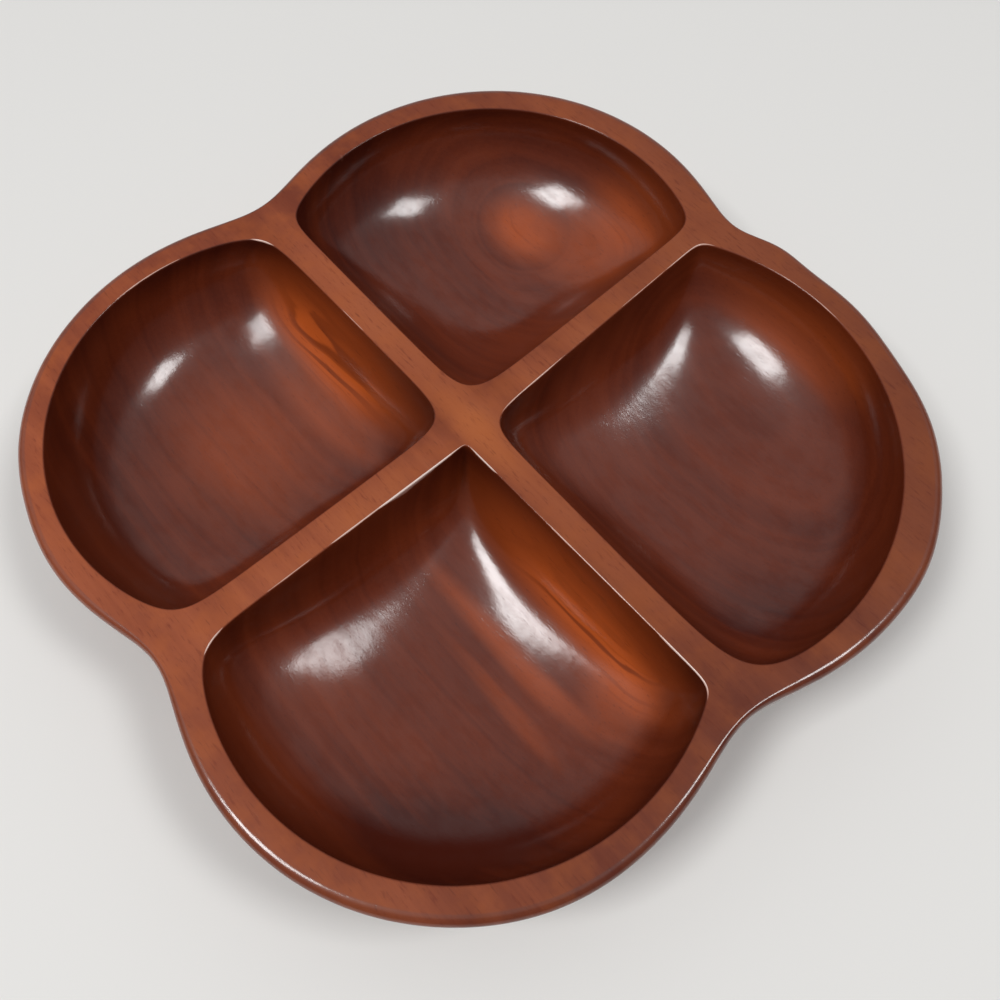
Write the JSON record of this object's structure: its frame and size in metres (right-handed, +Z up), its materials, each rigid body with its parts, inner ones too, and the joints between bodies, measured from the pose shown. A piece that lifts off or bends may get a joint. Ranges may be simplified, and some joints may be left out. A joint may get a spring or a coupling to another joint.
{
  "type": "divided serving bowl",
  "caption": "Low carved wooden serving bowl with a lobed outline, a flat rim, crossing dividers and open rounded compartments for snacks, nuts or dips.",
  "frame": {"origin": "centre of the base on the table, straight under the crossing of the dividers", "axes": "+X along the grain and along one divider, +Y across the boards along the other divider, +Z up"},
  "size_m": [0.2855, 0.2864, 0.048],
  "materials": {
    "varnished_wood": "reddish-brown tropical hardwood under a glossy clear varnish, worn satin on the rim"
  },
  "bodies": {
    "root": {"front_board": "varnished_wood", "middle_board": "varnished_wood", "rear_board": "varnished_wood"}
  },
  "joints": []
}
